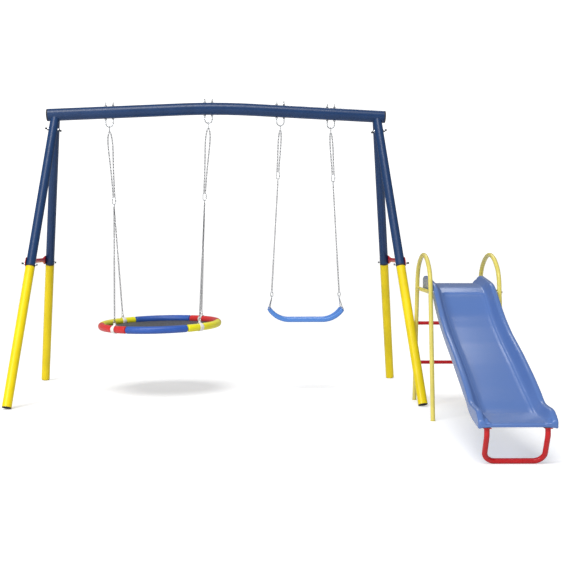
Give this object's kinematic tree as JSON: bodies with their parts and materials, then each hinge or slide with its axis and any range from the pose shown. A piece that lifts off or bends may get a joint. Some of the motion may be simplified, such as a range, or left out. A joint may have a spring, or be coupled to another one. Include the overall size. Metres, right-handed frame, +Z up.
{
  "type": "swing set",
  "caption": "Tube A-frame swing set with a padded saucer swing and a belt seat on chains, beside a separate low slide with a ladder end.",
  "frame": {"origin": "on the ground at the centre of the whole set's bounding box", "axes": "+X to the viewer's right along the top beam, +Y away from the viewer (the slide points to -Y), +Z up"},
  "size_m": [2.9226, 3.3126, 1.9336],
  "materials": {
    "navy_tube": "smooth satin powder coat",
    "bright_yellow_tube": "smooth satin powder coat",
    "red_tube": "smooth satin powder coat",
    "pale_yellow_tube": "smooth satin powder coat",
    "black_plastic": "moulded",
    "yellow_plastic": "moulded",
    "pale_yellow_plastic": "moulded",
    "zinc_steel": "bright zinc plate",
    "white_webbing": "woven",
    "blue_fabric": "coated cloth",
    "yellow_fabric": "coated cloth",
    "red_fabric": "coated cloth",
    "dark_mesh": "open weave",
    "seat_plastic": "glossy moulded",
    "chute_plastic": "glossy blow-moulded"
  },
  "bodies": {
    "frame_and_slide": {"top_beam": "navy_tube", "beam_end_caps": "black_plastic", "upper_leg_front_left": "navy_tube", "upper_leg_front_right": "navy_tube", "upper_leg_rear_left": "navy_tube", "upper_leg_rear_right": "navy_tube", "lower_leg_front_left": "bright_yellow_tube", "lower_leg_front_right": "bright_yellow_tube", "lower_leg_rear_left": "bright_yellow_tube", "lower_leg_rear_right": "bright_yellow_tube", "leg_foot_caps": "yellow_plastic", "cross_brace_left": "red_tube", "cross_brace_right": "red_tube", "leg_collars": "black_plastic", "leg_bolts": "zinc_steel", "leg_nuts": "zinc_steel", "leg_washers": "zinc_steel", "bolt_end_caps": "black_plastic", "saucer_u_bolts": "zinc_steel", "seat_u_bolts": "zinc_steel", "u_bolt_nuts": "zinc_steel", "slide_hoop_left": "pale_yellow_tube", "slide_hoop_right": "pale_yellow_tube", "ladder_rung_upper": "red_tube", "ladder_rung_lower": "red_tube", "slide_side_bar_left": "pale_yellow_tube", "slide_side_bar_right": "pale_yellow_tube", "rung_screws": "zinc_steel", "slide_chute": "chute_plastic", "chute_bolts": "zinc_steel", "chute_inserts": "zinc_steel", "chute_spacers": "zinc_steel", "slide_foot_bar": "red_tube", "foot_bar_plates": "red_tube", "slide_foot_caps": "pale_yellow_plastic"},
    "saucer_hangers": {"saucer_top_links": "zinc_steel", "saucer_upper_chains": "zinc_steel", "saucer_snap_hooks": "zinc_steel"},
    "saucer": {"saucer_rings": "zinc_steel", "saucer_lower_chains": "zinc_steel", "strap_rings": "zinc_steel", "saucer_straps": "white_webbing", "saucer_ring_tube": "zinc_steel", "saucer_pad_front": "blue_fabric", "saucer_pad_front_right": "yellow_fabric", "saucer_pad_rear_right": "red_fabric", "saucer_pad_rear": "blue_fabric", "saucer_pad_rear_left": "yellow_fabric", "saucer_pad_front_left": "red_fabric", "saucer_mat": "dark_mesh"},
    "seat_hangers": {"seat_top_links": "zinc_steel", "seat_upper_chains": "zinc_steel", "seat_snap_hooks": "zinc_steel", "seat_rings": "zinc_steel", "seat_long_chains": "zinc_steel", "seat_lower_links": "zinc_steel"},
    "seat": {"seat_triangles": "zinc_steel", "swing_seat": "seat_plastic"}
  },
  "joints": [
    {"name": "saucer_swing", "type": "hinge", "parent": "frame_and_slide", "child": "saucer_hangers", "pos_m": [-0.884, 0.915, 1.74602], "axis": [0.9991, 0, 0.0425], "range_deg": [-45, 45]},
    {"name": "saucer_tilt", "type": "hinge", "parent": "saucer_hangers", "child": "saucer", "pos_m": [-0.857, 0.915, 1.23952], "axis": [0.9989, 0, 0.0464], "range_deg": [-20, 20]},
    {"name": "seat_swing", "type": "hinge", "parent": "frame_and_slide", "child": "seat_hangers", "pos_m": [0.234, 0.915, 1.75995], "axis": [0.9988, 0, -0.048], "range_deg": [-45, 45]},
    {"name": "seat_tilt", "type": "hinge", "parent": "seat_hangers", "child": "seat", "pos_m": [0.177, 0.915, 0.634], "axis": [1, 0, 0], "range_deg": [-30, 30]}
  ]
}
